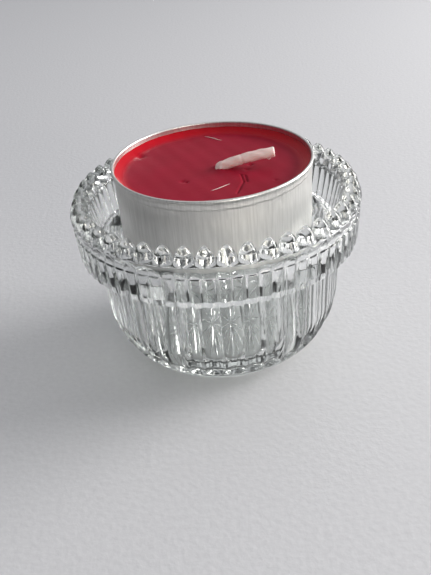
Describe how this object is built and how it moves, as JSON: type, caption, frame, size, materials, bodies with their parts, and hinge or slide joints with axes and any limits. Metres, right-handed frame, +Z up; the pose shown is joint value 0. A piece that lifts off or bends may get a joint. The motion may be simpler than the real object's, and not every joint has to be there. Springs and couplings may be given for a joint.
{
  "type": "glass tealight holder",
  "caption": "Round pressed-glass tealight holder: fluted bowl, ribbed collar and a ring of pointed beads, with a lift-out tealight in an aluminium cup.",
  "frame": {"origin": "centre of the foot, on the surface the holder stands on", "axes": "+Z up along the holder's axis, -Y towards the front"},
  "size_m": [0.0564, 0.0564, 0.042],
  "materials": {
    "clear_glass": "clear pressed glass, fire-polished",
    "cup_aluminium": "satin drawn aluminium with fine upright striations",
    "red_wax": "dyed paraffin wax, dull on the flat and glossy at its raised edge",
    "plate_steel": "tinned sheet",
    "waxed_cotton": "cotton wick soaked in wax"
  },
  "bodies": {
    "holder": {"glass_holder": "clear_glass"},
    "tealight": {"tealight_cup": "cup_aluminium", "wax": "red_wax", "wick_plate": "plate_steel", "wick": "waxed_cotton"}
  },
  "joints": [
    {"name": "tealight_lift", "type": "slide", "parent": "holder", "child": "tealight", "axis": [0, 0, 1], "range_m": [0, 0.025]}
  ]
}
